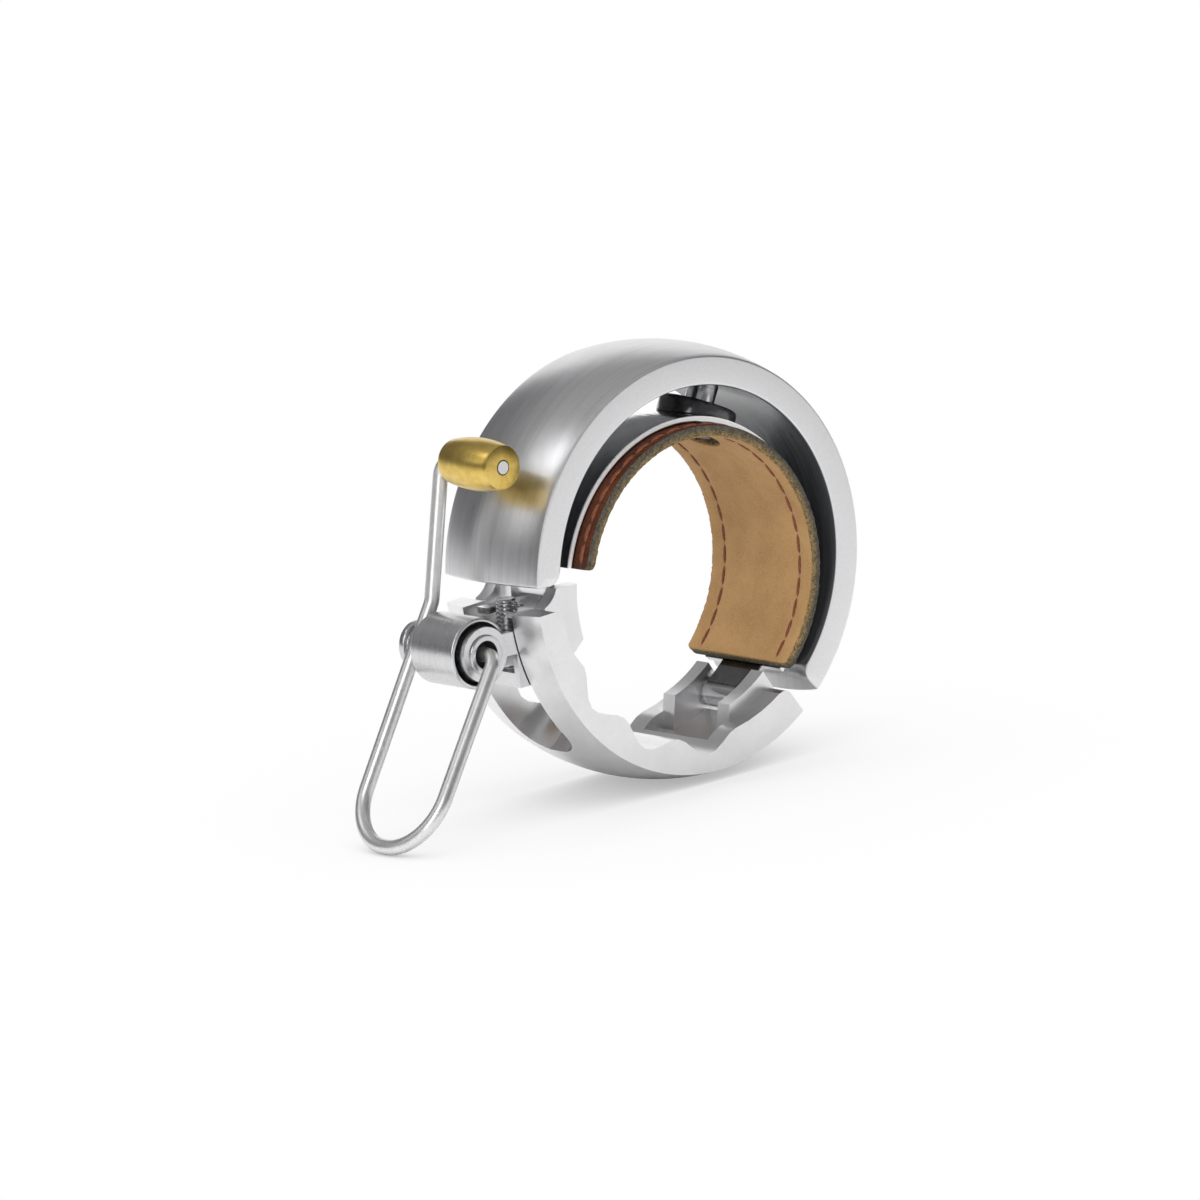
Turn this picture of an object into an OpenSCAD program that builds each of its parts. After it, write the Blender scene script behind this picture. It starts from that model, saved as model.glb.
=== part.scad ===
// Ring-shaped bicycle bell: a C-shaped chime on a leather-lined band, closed round the
// handlebar by a hinged lower clamp that carries a sprung wire striker.
// The handlebar's axis is Y. The front is -Y and +Z is up.

/* [Handlebar] */
// Diameter of the handlebar that the bell closes on
bar_d = 31.8; // [31.4:0.1:32.2]
// Radial clearance between handlebar and leather
bar_fit = 0.05; // [0.03:0.01:0.1]

/* [Chime] */
// Gap between band and chime at the ring's height
chime_gap = 2.1; // [2:0.1:2.3]
// Wall of the chime at its edges
chime_wall = 3.3; // [3:0.1:3.5]
// Width of the chime along the bar
chime_w = 16.2; // [15.6:0.2:17]
// Height of the crown in the middle of the width
chime_crown = 1.2; // [1:0.1:1.3]
// Angle of the chime's right end
chime_from = -48; // [-48:1:-40]
// Angle of the chime's left end
chime_to = 175; // [168:1:175]
// Rounding of the inner corner at each end of the chime
chime_end_round = 1.7; // [1.2:0.1:2]
// Height of the chime's centre above the bar's axis
ring_rise = 1.5; // [1.4:0.1:1.6]

/* [Leather pad] */
// Thickness of the leather
pad_t = 1.4; // [1.3:0.1:1.5]
// Width of the leather along the bar
pad_w = 17.4; // [14:0.2:18]
// Angle of the right end of leather and band
pad_from = -47.5; // [-48.5:0.5:-40]
// Angle of the left end of leather and band
pad_to = 165.5; // [155:0.5:167]
// Hole in the leather over the post screw
pad_hole_d = 7; // [5.6:0.1:7.4]

/* [Band] */
// Thickness of the band
band_t = 0.7; // [0.6:0.05:0.75]
// Width of the band along the bar
band_w = 12.8; // [9:0.2:13]
// Width of the narrow tabs at both ends of the band
tab_w = 6.6; // [6:0.2:6.6]
// Reach of the slotted shelf beyond the band
shelf_reach = 5; // [4.7:0.1:5.2]
// Width of the slot in the shelf
slot_w = 3.2; // [3:0.1:3.6]

/* [Chime post] */
// Angle of the post that carries the chime
post_angle = 64; // [55:1:75]
// Diameter of the post
post_d = 3.4; // [3:0.1:4]
// Diameter of the damper round the post
damper_d = 9; // [7:0.1:10]
// Thickness of the damper
damper_t = 1.6; // [1.2:0.1:1.8]
// Thread diameter of the post screw
post_screw_d = 2; // [1.6:0.1:2.2]
// Head diameter of the post screw
post_head_d = 4.6; // [4:0.1:4.8]

/* [Lower clamp] */
// Angle of the clamp's left end
clamp_from = 182.7; // [182.5:0.1:184]
// Angle of the clamp's right end
clamp_to = 304.5; // [303.5:0.1:305]
// Height of the ridges' tops above the bar
ridge_gap = 3.55; // [3.5:0.05:3.7]
// Depth of the waves between the ridges
wave_depth = 1.9; // [1.5:0.1:2]
// Angle of the first ridge
ridge_first = 204; // [203:0.5:205]
// Angle between ridges
ridge_pitch = 25.2; // [25:0.1:25.5]
// Width of the fork's slot along the bar
fork_w = 8.5; // [8.5:0.1:8.7]
// Angle at which the fork's slot ends
fork_to = 230; // [226:1:234]
// Thickness of each prong beside the shelf
prong_t = 1.75; // [1.5:0.05:1.9]

/* [Hinge] */
// Diameter of the hinge pin
hinge_pin_d = 1.8; // [1.6:0.1:1.9]
// Angle of the hinge pin seen from the bar's axis
hinge_angle = -58.5; // [-59:0.1:-58]
// Thickness of each ear
ear_t = 2; // [1.8:0.1:2.1]

/* [Clamp screw] */
// Thread diameter of the clamp screw
screw_d = 2.5; // [2.2:0.1:2.6]
// Distance across the flats of the screw's head
hex_af = 4; // [3.6:0.1:4.1]
// Height of the screw's head
hex_h = 2.6; // [2.2:0.1:2.7]
// Reach of the screw beyond the shelf
screw_past = 1; // [0.5:0.1:1.2]

/* [Trigger] */
// Outer diameter of the barrel
barrel_d = 8; // [7.8:0.1:8.2]
// Wall of the barrel
barrel_wall = 0.45; // [0.4:0.05:0.5]
// Angle of the trigger's pivot about the chime's centre
pivot_angle = 189.6; // [189.2:0.1:190]
// Outer radius of the bracket's eye
eye_r = 3.1; // [3:0.05:3.2]
// Outer radius of the hollow rivet
rivet_r = 2; // [1.95:0.05:2.05]
// Bore radius of the hollow rivet
rivet_bore_r = 1.55; // [1.5:0.05:1.6]
// Radius of the rivet's head
rivet_head_r = 2.8; // [2.5:0.1:3]

/* [Return spring] */
// Wire diameter of the torsion spring
spring_d = 0.7; // [0.6:0.05:0.75]
// Number of turns
spring_turns = 3.5; // [2.5:0.5:3.5]
// Gap between neighbouring turns
spring_gap = 0.5; // [0.46:0.02:0.52]

/* [Striker] */
// Diameter of the striker's wire
wire_d = 1.7; // [1.6:0.05:1.7]
// Length of the hammer
hammer_len = 8.4; // [7.6:0.1:9]
// Largest diameter of the hammer
hammer_d = 5.9; // [5.6:0.1:6]
// Diameter of the hammer's end faces
hammer_end_d = 5; // [4.6:0.1:5.2]
// Gap between hammer and chime at rest
hammer_gap = 1.7; // [1.7:0.1:2]

/* [Fits] */
// Radial clearance of turning fits
run_clear = 0.05; // [0.03:0.01:0.08]
// Clearance between pieces that are seated on each other
seat_clear = 0.02; // [0.01:0.01:0.03]

/* [Hidden] */
$fn = 64;

// Radii about the bar's axis
pad_in = bar_d / 2 + bar_fit;
pad_out = pad_in + pad_t;
band_in = pad_out + seat_clear;
band_out = band_in + band_t;
// Radii about the chime's centre
chime_in = band_out + chime_gap;
chime_r = chime_in + chime_wall;
ring_max = chime_r + chime_crown;
crown_ball = (pow(chime_w / 2, 2) + pow(chime_crown, 2)) / (2 * chime_crown);
// Reaches through anything
far = 40;

// Front view: x to the right, y up, z towards the front, zero on the bar's axis
module upright() {
  rotate([90, 0, 0]) children();
}
module about_ring() {
  translate([0, ring_rise, 0]) children();
}
module radial(angle, from) {
  rotate([0, 0, angle]) rotate([0, 90, 0]) translate([0, 0, from]) children();
}
module slab(back, front) {
  translate([0, 0, back]) linear_extrude(front - back) children();
}
module strip(inner, t, w, from, to) {
  rotate([0, 0, from]) rotate_extrude(angle = to - from) translate([inner, -w / 2]) square([t, w]);
}
module tube(outer, inner, back, front) {
  difference() {
    translate([0, 0, back]) cylinder(r = outer, h = front - back);
    translate([0, 0, back - 1]) cylinder(r = inner, h = front - back + 2);
  }
}

// Crowned ring between two angles
module crown_outline(inner) {
  intersection() {
    translate([inner, -chime_w / 2]) square([ring_max - inner + 1, chime_w]);
    translate([ring_max - crown_ball, 0]) circle(crown_ball);
  }
}
// Waste at an inner corner: x outwards, y into the material
module corner_waste(inner, round) {
  translate([inner, 0]) polygon(concat(
    [[-1, -1], [round * (1 - sin(10)), -1]],
    [for (t = [10 : 16 : 90]) round * [1 - sin(t), 1 - cos(t)]],
    [[-1, round]]
  ));
}
module end_rounding(inner, round) {
  linear_extrude(chime_w + 2, center = true) corner_waste(inner, round);
}

module chime() {
  color("silver") upright() about_ring() difference() {
    rotate([0, 0, chime_from]) rotate_extrude(angle = chime_to - chime_from) crown_outline(chime_in);
    rotate([0, 0, chime_from]) end_rounding(chime_in, chime_end_round);
    rotate([0, 0, chime_to]) mirror([0, 1, 0]) end_rounding(chime_in, chime_end_round);
  }
}

// Hinge
knuckle_r = hinge_pin_d / 2 + run_clear + band_t;
knuckle_step = 0.12;
knuckle_clear = 0.4;
hinge_r = pad_out + knuckle_r + knuckle_step;
hinge_at = hinge_r * [cos(hinge_angle), sin(hinge_angle)];
washer_t = 0.3;
washer_clear = 0.05;
ear_in = tab_w / 2 + washer_t + 2 * washer_clear;
ear_out = ear_in + ear_t;
module at_hinge() {
  translate([hinge_at.x, hinge_at.y, 0]) children();
}

// Clamp screw: upright at screw_x, with heights measured from the bar's axis
screw_inset = 3.1;
shelf_drop = 1.2;
screw_x = -(ring_max - screw_inset);
shelf_top = ring_rise - shelf_drop;
module at_screw(from) {
  translate([screw_x, from, 0]) rotate([-90, 0, 0]) children();
}

band_end = 179.5;
side_past = 10;
slot_ease = 0.45;
module band() {
  color("gainsboro") upright() difference() {
    union() {
      difference() {
        strip(band_in, band_t, band_w, hinge_angle, band_end);
        for (side = [0, 1]) mirror([0, 0, side]) translate([0, 0, (tab_w + band_w) / 2]) {
          strip(band_in - 1, band_t + 2, band_w, pad_to, band_end + side_past);
          strip(band_in - 1, band_t + 2, band_w, hinge_angle - side_past, pad_from);
        }
      }
      at_hinge() cylinder(r = knuckle_r, h = tab_w, center = true);
      translate([-band_out - shelf_reach, shelf_top - band_t, -tab_w / 2])
        cube([shelf_reach + band_t / 2, band_t, tab_w]);
    }
    at_hinge() cylinder(d = hinge_pin_d + 2 * run_clear, h = far, center = true);
    radial(post_angle, 0) cylinder(d = post_screw_d + 2 * run_clear, h = far);
    translate([slot_ease, 0, 0]) {
      at_screw(-far / 2) cylinder(d = slot_w, h = far);
      translate([screw_x - far, -far / 2, -slot_w / 2]) cube([far, far, slot_w]);
    }
  }
}

module leather_pad() {
  color("sienna") upright() difference() {
    strip(pad_in, pad_t, pad_w, pad_from, pad_to);
    radial(post_angle, 0) cylinder(d = pad_hole_d, h = far);
  }
}

// Distance from the bar's axis to the chime's inside along the post
post_rise = ring_rise * sin(post_angle);
post_roof = 0.8;
post_end = post_rise + sqrt(pow(post_rise, 2) + pow(chime_in, 2) - pow(ring_rise, 2));

module chime_post() {
  color("silver") upright() difference() {
    intersection() {
      radial(post_angle, band_in) cylinder(d = post_d, h = post_end - band_in + 1);
      about_ring() cylinder(r = chime_in - seat_clear, h = far, center = true);
    }
    cylinder(r = band_out + seat_clear, h = far, center = true);
    radial(post_angle, 0) cylinder(d = post_screw_d + 2 * seat_clear, h = post_end - post_roof);
  }
}

module damper() {
  color("dimgray") upright() difference() {
    radial(post_angle, 0) tube(damper_d / 2, post_d / 2 + seat_clear, band_in, band_out + damper_t);
    cylinder(r = band_out + seat_clear, h = far, center = true);
  }
}

post_head_sink = 0.2;
post_tip_gap = 0.4;
post_key_af = 1.5;
post_key_deep = 0.6;
post_head_low = bar_d / 2 + post_head_sink;
post_head_top = sqrt(pow(pad_out, 2) - pow(post_head_d / 2, 2)) - seat_clear;
module post_screw() {
  color("silver") upright() radial(post_angle, 0) difference() {
    union() {
      translate([0, 0, post_head_low]) cylinder(d = post_head_d, h = post_head_top - post_head_low);
      translate([0, 0, post_head_low + post_key_deep])
        cylinder(d = post_screw_d, h = post_end - post_roof - post_tip_gap - post_head_low - post_key_deep);
    }
    translate([0, 0, post_head_low - 1])
      cylinder(d = post_key_af / cos(30), h = post_key_deep + 1, $fn = 6);
  }
}

pin_bury = 0.4;
pin_end_gap = 0.05;
module pin_hole(d, half) {
  cylinder(d = d + 2 * seat_clear, h = 2 * (half + pin_end_gap), center = true);
}
module hinge_pin() {
  color("silver") upright() at_hinge()
    cylinder(d = hinge_pin_d, h = 2 * (ear_out + pin_bury), center = true);
}

module hinge_washers() {
  washer_out = ear_in - washer_clear;
  color("darkgray") upright() at_hinge() for (side = [0, 1]) mirror([0, 0, side])
    tube(knuckle_r - washer_clear, hinge_pin_d / 2 + run_clear, washer_out - washer_t, washer_out);
}

// Radius of the clamp's wavy inside at an angle about the chime's centre
ridge_r = pad_in + ridge_gap;
ridge_last = ridge_first + 3 * ridge_pitch;
lead_depth = 0.8;
lead_run = 8;
function jaw_r(a) = a < ridge_first ? ridge_r + lead_depth * min(1, (ridge_first - a) / lead_run)
  : a > ridge_last ? ridge_r
  : ridge_r + wave_depth * (1 - cos(360 * (a - ridge_first) / ridge_pitch)) / 2;
jaw_angles = concat(
  [clamp_from, ridge_first - lead_run],
  [for (i = [0 : 24]) ridge_first + ridge_pitch * i / 8],
  [for (a = [ridge_last + 6 : 6 : clamp_to - 1]) a],
  [clamp_to]
);
module jaw_outline() {
  difference() {
    polygon(concat(
      [for (a = jaw_angles) jaw_r(a) * [cos(a), sin(a)]],
      [for (i = [4 : -1 : 0])
        let (a = clamp_from + (clamp_to - clamp_from) * i / 4) far * [cos(a), sin(a)]]
    ));
    rotate(clamp_from) corner_waste(jaw_r(clamp_from), jaw_round);
    rotate(clamp_to) mirror([0, 1]) corner_waste(ridge_r, jaw_round);
  }
}

fork_half = fork_w / 2;
prong_out = fork_half + prong_t;
jaw_round = 1.2;
fork_round = 3.4;
// Recess between the jaw's inside and the ears
recess_r = ridge_r + wave_depth;
recess_inset = 0.2;
recess_from = 273;
notch_from = 296;
cut_past = 5;
// Prongs, with heights from the chime's centre
prong_top = 1;
prong_knee = 4.4;
prong_low = 7.6;
prong_in = bar_d / 2 - 1.1;
prong_toe = ridge_r - 1.1;
prong_r = ridge_r + 1.5;
prong_bar_gap = 0.4;
hollow_r = 3.05;
hollow_x = prong_r + 1;
hollow_up = 2;
module prong_outline() {
  difference() {
    intersection() {
      translate([0, ring_rise]) polygon([
        [-ring_max, -prong_low], [-ring_max, prong_top], [-prong_in, prong_top],
        [-prong_in, -prong_knee], [-prong_toe, -prong_low]
      ]);
      translate([0, ring_rise]) circle(prong_r);
    }
    circle(bar_d / 2 + prong_bar_gap);
    translate([-hollow_x, ring_rise + hollow_up]) circle(hollow_r);
  }
}
// Ears: rooted under the recess, with tops that follow the bar
ear_root_r = recess_r + 0.5;
ear_top_r = bar_d / 2 - 0.5;
ear_bar_gap = 0.35;
ear_foot_angle = 280;
ear_heel_angle = clamp_to - 0.5;
ear_knee_angle = 288;
ear_peak_angle = 307.8;
function around(r, angle) = r * [cos(angle), sin(angle)];
module ear() {
  slab(ear_in, ear_out) difference() {
    polygon([
      [0, ring_rise] + around(ear_root_r, ear_foot_angle), around(ear_top_r, ear_knee_angle),
      around(ear_top_r, ear_peak_angle), [0, ring_rise] + around(ear_root_r, ear_heel_angle)
    ]);
    circle(bar_d / 2 + ear_bar_gap);
  }
}

// Slot seen from outside, open downwards in this sketch, with a rounded closed end
module fork_outline() {
  difference() {
    translate([-fork_half, -far]) square([fork_w, far + fork_half]);
    for (side = [0, 1]) mirror([side, 0])
      translate([fork_half, fork_half]) rotate(180) corner_waste(0, fork_round);
  }
}

module clamp() {
  fork_end = fork_to - asin(fork_half / chime_r);
  color("gainsboro") upright() difference() {
    union() {
      about_ring() difference() {
        intersection() {
          slab(-chime_w / 2, chime_w / 2) jaw_outline();
          rotate_extrude() crown_outline(0);
        }
        strip(pad_in, recess_r - pad_in, 2 * (ear_out - recess_inset), recess_from, clamp_to + cut_past);
        radial(fork_end, pad_in / 2) linear_extrude(far) fork_outline();
      }
      for (side = [0, 1]) mirror([0, 0, side]) {
        slab(fork_half, prong_out) prong_outline();
        ear();
      }
    }
    at_hinge() cylinder(r = knuckle_r + knuckle_clear, h = 2 * ear_in, center = true);
    about_ring() strip(pad_in, far / 2, 2 * ear_in, notch_from, clamp_to + cut_past);
    at_hinge() pin_hole(hinge_pin_d, ear_out + pin_bury);
    at_bracket_pin() pin_hole(bracket_pin_d, pin_half);
  }
}

// Trigger's pivot
barrel_r = barrel_d / 2;
barrel_gap = 0.1;
pivot_at = [0, ring_rise] + (ring_max + barrel_r + barrel_gap) * [cos(pivot_angle), sin(pivot_angle)];
module at_pivot() {
  translate([pivot_at.x, pivot_at.y, 0]) children();
}

// Bracket: block in the fork, arm and eye
bracket_clear = 0.15;
bracket_front = fork_half - bracket_clear;
bracket_back = -3.3;
bracket_drop = 3;
bracket_tall = 6.5;
bracket_past = 3.3;
bracket_top = ring_rise - bracket_drop;
bracket_low = bracket_top - bracket_tall;
block_gap = 0.5;
arm_t = 0.8;
arm_h = 2.6;
arm_bury = 0.5;
eye_back = 2;
shelf_t = 1.6;
pocket_side = 0.7;
pocket_wall = 0.55;
pocket_top = bracket_top - shelf_t;
pocket_low = bracket_low + shelf_t;
screw_clear = 0.2;
bracket_pin_d = 1.2;
bracket_pin_x = 2.2;
bracket_pin_up = 0.8;
pin_half = 7.2;
module at_bracket_pin() {
  translate([screw_x + bracket_pin_x, bracket_low + bracket_pin_up, 0]) children();
}
module trigger_bracket() {
  block_left = pivot_at.x + barrel_r + block_gap;
  block_right = screw_x + bracket_past;
  pocket_back = bracket_back + pocket_side;
  pocket_right = block_right - pocket_wall;
  color("gainsboro") upright() difference() {
    union() {
      translate([block_left, bracket_low, bracket_back])
        cube([block_right - block_left, bracket_top - bracket_low, bracket_front - bracket_back]);
      translate([pivot_at.x, bracket_top - arm_h, bracket_front - arm_t])
        cube([block_left - pivot_at.x + arm_bury, arm_h, arm_t]);
      at_pivot() translate([0, 0, eye_back]) cylinder(r = eye_r, h = bracket_front - eye_back);
    }
    translate([block_left - 1, pocket_low, pocket_back])
      cube([pocket_right - block_left + 1, pocket_top - pocket_low, bracket_front - arm_t - pocket_back]);
    translate([block_left + arm_t, pocket_low, 0])
      cube([pocket_right - block_left - arm_t, pocket_top - pocket_low, far]);
    at_pivot() cylinder(r = rivet_r + seat_clear, h = far, center = true);
    at_screw(-far) cylinder(d = screw_d + 2 * screw_clear, h = 2 * far);
    at_bracket_pin() cylinder(d = bracket_pin_d + 2 * seat_clear, h = far, center = true);
  }
}

module bracket_pin() {
  color("silver") upright() at_bracket_pin() cylinder(d = bracket_pin_d, h = 2 * pin_half, center = true);
}

barrel_back = -4.2;
barrel_front = 3.1;
cup_t = 0.9;
cup_floor = barrel_back + cup_t;
wire_back = barrel_back - wire_d / 2 - seat_clear;
head_front = -6.85;
head_back = -7.95;
head_edge = 0.4;
neck_r = 1.1;
flare = 0.25;
lap = 0.1;
bore_deep = 0.2;
module pivot_rivet() {
  color("silver") upright() at_pivot() difference() {
    union() {
      translate([0, 0, barrel_back]) cylinder(r = rivet_r, h = bracket_front - barrel_back + lap);
      translate([0, 0, bracket_front + seat_clear]) cylinder(r = rivet_r + flare, h = flare);
      translate([0, 0, head_front - lap]) cylinder(r = neck_r, h = barrel_back - head_front + 2 * lap);
      rotate_extrude() polygon([
        [0, head_back], [rivet_head_r - head_edge, head_back], [rivet_head_r, head_back + head_edge],
        [rivet_head_r, head_front], [0, head_front]
      ]);
    }
    translate([0, 0, cup_floor - bore_deep]) cylinder(r = rivet_bore_r, h = far);
  }
}

pivot_washer_t = 0.7;
module pivot_washer() {
  color("darkgray") upright() at_pivot()
    translate([0, 0, head_front + washer_clear])
    tube(rivet_head_r - head_edge, neck_r + run_clear, 0, pivot_washer_t);
}

bush_back = -1;
bush_front = 2.5;
module wire_bush() {
  color("dimgray") upright() at_pivot()
    tube(rivet_bore_r - seat_clear, wire_d / 2 + run_clear, bush_back, bush_front);
}

module barrel() {
  color("silver") upright() at_pivot() difference() {
    translate([0, 0, barrel_back]) cylinder(r = barrel_r, h = barrel_front - barrel_back);
    translate([0, 0, cup_floor]) cylinder(r = barrel_r - barrel_wall, h = far);
    cylinder(r = rivet_r + run_clear, h = far, center = true);
  }
}

// Torsion spring: one tube wound round the rivet inside the barrel
spring_r = (rivet_r + barrel_r - barrel_wall) / 2;
spring_pitch = spring_d + spring_gap;
spring_lift = 0.15;
spring_from = cup_floor + spring_d / 2 + spring_lift;
spring_rings = 8 * spring_turns;
spring_sides = 6;
spring_points = [for (i = [0 : spring_rings], s = [0 : spring_sides - 1])
  let (a = 45 * i, b = 360 * s / spring_sides, r = spring_r + spring_d / 2 * cos(b))
  [r * cos(a), r * sin(a), spring_from + spring_pitch * i / 8 + spring_d / 2 * sin(b)]];
spring_least = min([
  for (i = [0 : spring_rings - 8], s = [0 : spring_sides - 1], t = [0 : spring_sides - 1])
    norm(spring_points[(i + 8) * spring_sides + s] - spring_points[i * spring_sides + t])
]);
echo(spring_least_gap = spring_least);
module torsion_spring() {
  last = spring_rings * spring_sides;
  color("gray") upright() at_pivot() polyhedron(
    points = spring_points,
    faces = concat(
      [[for (s = [0 : spring_sides - 1]) s]],
      [[for (s = [spring_sides - 1 : -1 : 0]) last + s]],
      [for (i = [0 : spring_rings - 1], s = [0 : spring_sides - 1])
        let (p = i * spring_sides + s, q = i * spring_sides + (s + 1) % spring_sides)
        each [[p, p + spring_sides, q], [p + spring_sides, q + spring_sides, q]]]
    )
  );
}

screw_washer_t = 0.4;
screw_washer_r = 2.2;
head_lap = 0.5;
key_af = 2;
key_deep = 1.4;
hex_top = pocket_top - screw_washer_t - 2 * seat_clear;
module clamp_screw() {
  color("silver") upright() difference() {
    union() {
      at_screw(hex_top - head_lap)
        cylinder(d = screw_d, h = shelf_top + screw_past - hex_top + head_lap);
      at_screw(hex_top - hex_h) cylinder(d = hex_af / cos(30), h = hex_h, $fn = 6);
    }
    at_screw(hex_top - hex_h - 1) cylinder(d = key_af / cos(30), h = key_deep + 1, $fn = 6);
  }
}

module screw_washer() {
  washer_top = pocket_top - seat_clear;
  color("darkgray") upright() at_screw(0)
    tube(screw_washer_r, screw_d / 2 + run_clear, washer_top - screw_washer_t, washer_top);
}

// Striker's wire along its corners, in the front view
hammer_angle = 147.6;
hammer_at = [0, ring_rise]
  + (ring_max + hammer_gap + hammer_d / 2) * [cos(hammer_angle), sin(hammer_angle)];
hammer_front = 5.6;
floor_y = ring_rise - ring_max;
loop_reach = 14.2;
loop_x = pivot_at.x - loop_reach;
loop_y = floor_y + wire_d / 2;
loop_front = 8.2;
loop_bend = 0.46 * (loop_front - wire_back);
knee_x = 0.4;
knee_up = 4.95;
turn_front = 5.9;
wire_path = [
  [hammer_at.x, hammer_at.y, hammer_front],
  [hammer_at.x, hammer_at.y, wire_back],
  [pivot_at.x + knee_x, pivot_at.y + knee_up, wire_back],
  [loop_x, loop_y, wire_back],
  [loop_x, loop_y, loop_front],
  [pivot_at.x, pivot_at.y, turn_front],
  [pivot_at.x, pivot_at.y, 0]
];
top_bend = 2;
knee_bend = 3;
turn_bend = 1.7;
wire_bends = [0, top_bend, knee_bend, loop_bend, loop_bend, turn_bend, 0];
function unit(v) = v / norm(v);
function turn_at(i) =
  acos(unit(wire_path[i] - wire_path[i - 1]) * unit(wire_path[i + 1] - wire_path[i]));
function cut_at(i) = wire_bends[i] == 0 ? 0 : wire_bends[i] * tan(turn_at(i) / 2);
module rod(a, b) {
  v = b - a;
  translate(a) rotate([0, acos(v.z / norm(v)), atan2(v.y, v.x)]) cylinder(d = wire_d, h = norm(v));
}
// Bends are a trifle thinner than the straights and reach a little way into them
bend_thin = 0.03;
bend_over = 0.15;
module bend(i) {
  r = wire_bends[i];
  over = asin(bend_over / r);
  in_dir = unit(wire_path[i] - wire_path[i - 1]);
  out_dir = unit(wire_path[i + 1] - wire_path[i]);
  side = unit(out_dir - in_dir * (in_dir * out_dir));
  centre = wire_path[i] - in_dir * cut_at(i) + side * r;
  x = -side;
  y = in_dir;
  z = cross(x, y);
  multmatrix([
    [x.x, y.x, z.x, centre.x], [x.y, y.y, z.y, centre.y], [x.z, y.z, z.z, centre.z], [0, 0, 0, 1]
  ])
    rotate([0, 0, -over])
      rotate_extrude(angle = turn_at(i) + 2 * over) translate([r, 0]) circle(d = wire_d - bend_thin);
}
module striker_wire() {
  color("silver") upright() for (i = [1 : len(wire_path) - 1]) {
    dir = unit(wire_path[i] - wire_path[i - 1]);
    rod(wire_path[i - 1] + dir * cut_at(i - 1), wire_path[i] - dir * cut_at(i));
    if (wire_bends[i] > 0) bend(i);
  }
}

hammer_swell = (hammer_d - hammer_end_d) / 2;
hammer_ball = (pow(hammer_len / 2, 2) + pow(hammer_swell, 2)) / (2 * hammer_swell);
module hammer() {
  color("gold") upright() translate([hammer_at.x, hammer_at.y, hammer_front - hammer_len / 2])
    difference() {
      rotate_extrude() intersection() {
        translate([0, -hammer_len / 2]) square([hammer_d, hammer_len]);
        translate([hammer_d / 2 - hammer_ball, 0]) circle(hammer_ball, $fn = 360);
      }
      cylinder(d = wire_d + 2 * seat_clear, h = far, center = true);
    }
}

chime();
band();
leather_pad();
chime_post();
damper();
post_screw();
hinge_pin();
hinge_washers();
clamp();
trigger_bracket();
bracket_pin();
pivot_rivet();
pivot_washer();
wire_bush();
torsion_spring();
clamp_screw();
screw_washer();
barrel();
striker_wire();
hammer();
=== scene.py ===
import math
import random

import bmesh
import bpy
from mathutils import Matrix, Vector

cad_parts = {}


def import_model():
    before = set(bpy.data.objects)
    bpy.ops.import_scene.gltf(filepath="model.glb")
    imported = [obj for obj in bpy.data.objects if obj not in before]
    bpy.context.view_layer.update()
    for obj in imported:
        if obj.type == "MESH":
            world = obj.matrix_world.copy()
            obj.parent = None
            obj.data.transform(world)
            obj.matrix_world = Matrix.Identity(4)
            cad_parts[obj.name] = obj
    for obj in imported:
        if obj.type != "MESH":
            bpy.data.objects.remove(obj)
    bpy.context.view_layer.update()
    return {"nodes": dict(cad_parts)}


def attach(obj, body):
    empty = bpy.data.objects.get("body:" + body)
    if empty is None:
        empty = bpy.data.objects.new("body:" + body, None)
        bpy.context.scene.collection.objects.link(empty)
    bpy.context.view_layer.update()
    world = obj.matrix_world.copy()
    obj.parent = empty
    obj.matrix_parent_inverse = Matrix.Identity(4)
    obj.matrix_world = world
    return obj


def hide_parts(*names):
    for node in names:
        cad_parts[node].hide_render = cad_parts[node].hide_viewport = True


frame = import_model()
nodes = frame["nodes"]

# Sizes in millimetres, in the front view: x right, y up, z towards the front, zero on the bar's axis
MM = 0.001
SEAT = 0.02
# Ring: leather and band about the bar's axis, the chime about an axis RISE above it
RISE = 1.5
PAD_IN, PAD_OUT = 15.95, 17.35
PAD_MID = (PAD_IN + PAD_OUT) / 2
PAD_FROM, PAD_TO, PAD_HALF, PAD_ROUND = -47.5, 165.5, 8.7, 0.9
PAD_HOLE_R = 3.5
PAD_FRAY = 0.07
STITCH_IN, STITCH_OUT, STITCH_SINK, STITCH_WIDE = 6.45, 7.45, 0.16, 0.42
BAND_IN, BAND_OUT, BAND_HALF = 17.37, 18.07, 6.4
CHIME_IN, CHIME_R, RING_MAX, CHIME_W = 20.17, 23.47, 24.67, 16.2
CHIME_FROM, CHIME_TO, CHIME_END_ROUND = -48.0, 175.0, 1.7
CROWN_RISE = RING_MAX - CHIME_R
CROWN_BALL = ((CHIME_W / 2) ** 2 + CROWN_RISE**2) / (2 * CROWN_RISE)
POST_ANGLE = 64
DAMPER_R, DAMPER_BORE, DAMPER_T = 4.5, 1.72, 1.6
FLOOR_Y = RISE - RING_MAX
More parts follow.
